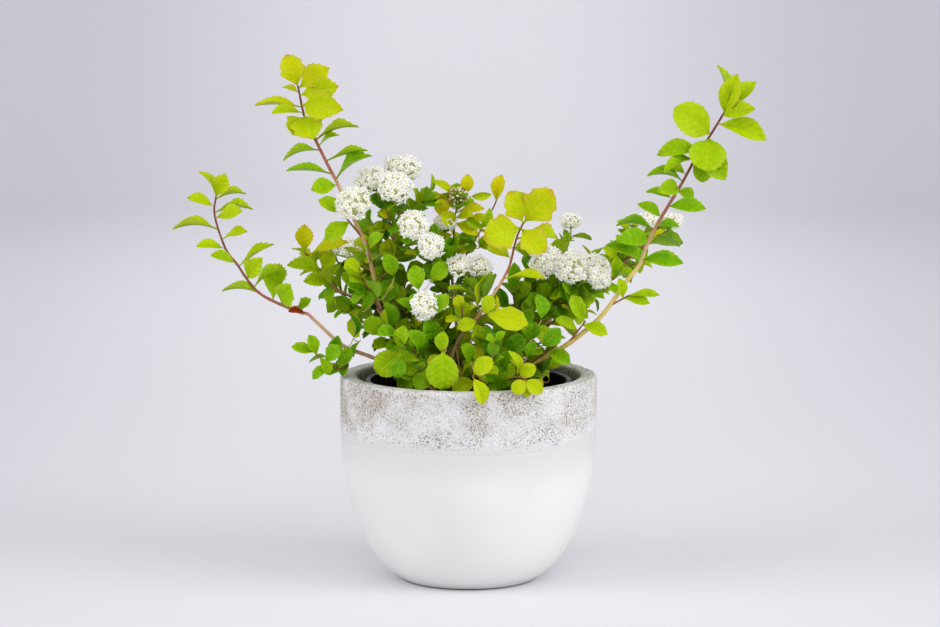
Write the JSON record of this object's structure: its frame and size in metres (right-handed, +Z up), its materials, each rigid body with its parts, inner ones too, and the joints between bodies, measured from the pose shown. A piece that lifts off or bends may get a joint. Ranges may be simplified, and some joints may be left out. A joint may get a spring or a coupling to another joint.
{
  "type": "potted spiraea",
  "caption": "Golden-leaved spiraea with white flower heads, in a black nursery pot that stands in a white glazed stoneware cover pot with an unglazed rim band.",
  "frame": {"origin": "centre of the cover pot's flat base, on the surface that the pot stands on", "axes": "+Z up along the pot's axis; +X to the right along the plant's widest spread; -Y towards the viewer of the display side"},
  "size_m": [0.4359, 0.1961, 0.3874],
  "materials": {
    "glazed_stoneware": "satin white glaze over stoneware, with a bare speckled grey band at the rim",
    "black_plastic": "thin black plastic, slightly shiny at the lip",
    "potting_soil": "moist dark peat compost with bark crumbs",
    "bark": "smooth tan and red-brown young bark",
    "green_leaf": "thin mid-green leaves inside the plant",
    "bright_leaf": "thin yellow-green leaves, golden at the shoots' ends",
    "golden_leaf": "thin golden leaves with orange margins",
    "red_leaf": "one old leaf that has turned deep red",
    "petal": "matt creamy white blossoms",
    "bud": "closed green and brown buds"
  },
  "bodies": {
    "root": {"cover_pot": "glazed_stoneware", "nursery_pot": "black_plastic", "potting_soil": "potting_soil", "flower_head_top_back": "petal", "flower_head_top_front": "petal", "flower_head_top_left": "petal", "flower_head_left_front": "petal", "flower_head_centre": "petal", "flower_head_centre_low": "petal", "flower_head_centre_back": "petal", "flower_head_middle_left": "petal", "flower_head_middle_right": "petal", "flower_head_front": "petal", "flower_head_right_inner": "petal", "flower_head_right_middle": "petal", "flower_head_right_outer": "petal", "flower_head_back_middle": "petal", "flower_head_back_right_a": "petal", "flower_head_back_right_b": "petal", "flower_head_back_left_a": "petal", "flower_head_back_left_b": "petal", "bud_head": "bud", "cane_left_low": "bark", "cane_left_tall": "bark", "cane_left_small": "bark", "cane_flower": "bark", "cane_middle": "bark", "cane_gold": "bark", "cane_right": "bark", "cane_right_inner": "bark", "cane_back_left": "bark", "cane_back_right": "bark", "red_leaf": "red_leaf", "shoot_left_low": "bright_leaf", "shoot_left_tall": "bright_leaf", "shoot_left_small": "bright_leaf", "shoot_middle": "bright_leaf", "shoot_gold": "golden_leaf", "shoot_right": "bright_leaf", "basal_shoot_left": "bright_leaf", "basal_shoot_front_left": "bright_leaf", "basal_shoot_front_middle": "bright_leaf", "basal_shoot_front_right": "bright_leaf", "side_shoot_trailing": "green_leaf", "side_shoot_tall_upper": "green_leaf", "side_shoot_tall_lower": "green_leaf", "side_shoot_flower_low": "green_leaf", "side_shoot_flower_high": "green_leaf", "side_shoot_middle_left": "green_leaf", "side_shoot_middle_right": "green_leaf", "side_shoot_gold_left": "green_leaf", "side_shoot_gold_right": "green_leaf", "side_shoot_inner_up": "green_leaf", "side_shoot_inner_out": "green_leaf", "side_shoot_right_low": "green_leaf", "side_shoot_right_middle": "green_leaf", "side_shoot_right_upper": "green_leaf", "side_shoot_back_left": "green_leaf", "side_shoot_back_middle": "green_leaf", "side_shoot_back_right": "green_leaf"}
  },
  "joints": []
}
